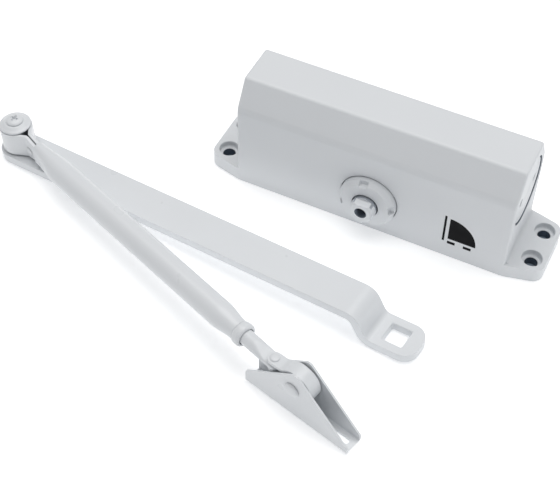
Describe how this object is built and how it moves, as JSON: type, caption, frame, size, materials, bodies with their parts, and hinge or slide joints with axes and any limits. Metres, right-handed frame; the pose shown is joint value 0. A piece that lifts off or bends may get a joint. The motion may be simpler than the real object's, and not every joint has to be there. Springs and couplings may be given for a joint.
{
  "type": "door closer",
  "caption": "Surface-mounted hydraulic door closer with rack-and-pinion body and a loose folding scissor arm with adjustable rod and shoe bracket, white powder coat.",
  "frame": {"origin": "centre of the closer body's flat mounting face", "axes": "+X along the body, -Y out of the front spindle face towards the loose arm, +Z away from the mounting face"},
  "size_m": [0.2768, 0.1729, 0.0627],
  "materials": {
    "cast_powder_coat": "fine white powder coat over cast aluminium, semi-gloss",
    "powder_coat": "fine white powder coat over steel, semi-gloss",
    "bright_steel": "bright zinc-plated steel",
    "oiled_steel": "dark oiled steel",
    "brass": "turned brass",
    "rubber": "matt black nitrile rubber"
  },
  "bodies": {
    "closer_body": {"housing": "cast_powder_coat", "end_plug_left": "cast_powder_coat", "end_plug_right": "cast_powder_coat", "end_plug_seal_left": "rubber", "end_plug_seal_right": "rubber", "spindle_collar_front": "cast_powder_coat", "spindle_collar_back": "cast_powder_coat", "spindle_bearing_front": "brass", "spindle_bearing_back": "brass", "spindle_seal_front": "rubber", "spindle_seal_back": "rubber", "closing_spring": "oiled_steel"},
    "spindle": {"spindle": "bright_steel"},
    "piston": {"piston": "oiled_steel", "piston_seal": "rubber", "check_ball": "bright_steel", "check_retainer": "brass"},
    "closing_valve": {"valve_screw_closing": "brass", "valve_seal_closing": "rubber"},
    "latching_valve": {"valve_screw_latching": "brass", "valve_seal_latching": "rubber"},
    "main_arm": {"main_arm": "powder_coat", "elbow_screw": "bright_steel", "elbow_cap": "powder_coat", "elbow_bush": "bright_steel"},
    "forearm": {"elbow_strap": "powder_coat", "strap_rivet": "bright_steel", "forearm_tube": "powder_coat", "lock_collar": "powder_coat"},
    "rod": {"adjusting_rod": "powder_coat"},
    "link": {"link_strap": "powder_coat", "link_rivet": "bright_steel", "link_bush": "bright_steel"},
    "shoe": {"shoe_bracket": "powder_coat", "shoe_pin": "powder_coat", "shoe_washer_front": "oiled_steel", "shoe_washer_back": "oiled_steel"}
  },
  "joints": [
    {"name": "spindle_turn", "type": "hinge", "parent": "closer_body", "child": "spindle", "pos_m": [0, 0, 0.0197], "axis": [0, 1, 0], "range_deg": [0, 150]},
    {"name": "piston_slide", "type": "slide", "parent": "closer_body", "child": "piston", "axis": [1, 0, 0], "range_m": [0, 0.02356], "stiffness_N_per_m": 2000, "springref_m": -0.01, "deforming": ["closing_spring"]},
    {"name": "closing_valve_turn", "type": "hinge", "parent": "closer_body", "child": "closing_valve", "pos_m": [-0.0703, -0.0085, 0.0146], "axis": [1, 0, 0], "range_deg": [-180, 180]},
    {"name": "latching_valve_turn", "type": "hinge", "parent": "closer_body", "child": "latching_valve", "pos_m": [-0.0703, 0.0085, 0.0146], "axis": [1, 0, 0], "range_deg": [-180, 180]},
    {"name": "arm_lift", "type": "slide", "parent": "closer_body", "child": "main_arm", "axis": [0, 0, 1], "range_m": [0, 0.1]},
    {"name": "elbow_turn", "type": "hinge", "parent": "main_arm", "child": "forearm", "pos_m": [-0.1786, -0.0529, 0.00057], "axis": [0.0452, -0.0013, -0.999], "range_deg": [-2, 150]},
    {"name": "rod_slide", "type": "slide", "parent": "forearm", "child": "rod", "axis": [0.9257, -0.3759, 0.0424], "range_m": [-0.005, 0.03]},
    {"name": "link_turn", "type": "hinge", "parent": "rod", "child": "link", "pos_m": [0.00228, -0.12656, 0.02127], "axis": [-0.0413, 0.011, 0.9991], "range_deg": [-30, 15]},
    {"name": "shoe_turn", "type": "hinge", "parent": "link", "child": "shoe", "pos_m": [0.0157, -0.13012, 0.0196], "axis": [-0.2563, -0.9666, 0], "range_deg": [0, 75]}
  ],
  "couplings": [
    {"joint": "spindle_turn", "follows": "piston_slide", "rad_per_m": 111.11}
  ]
}
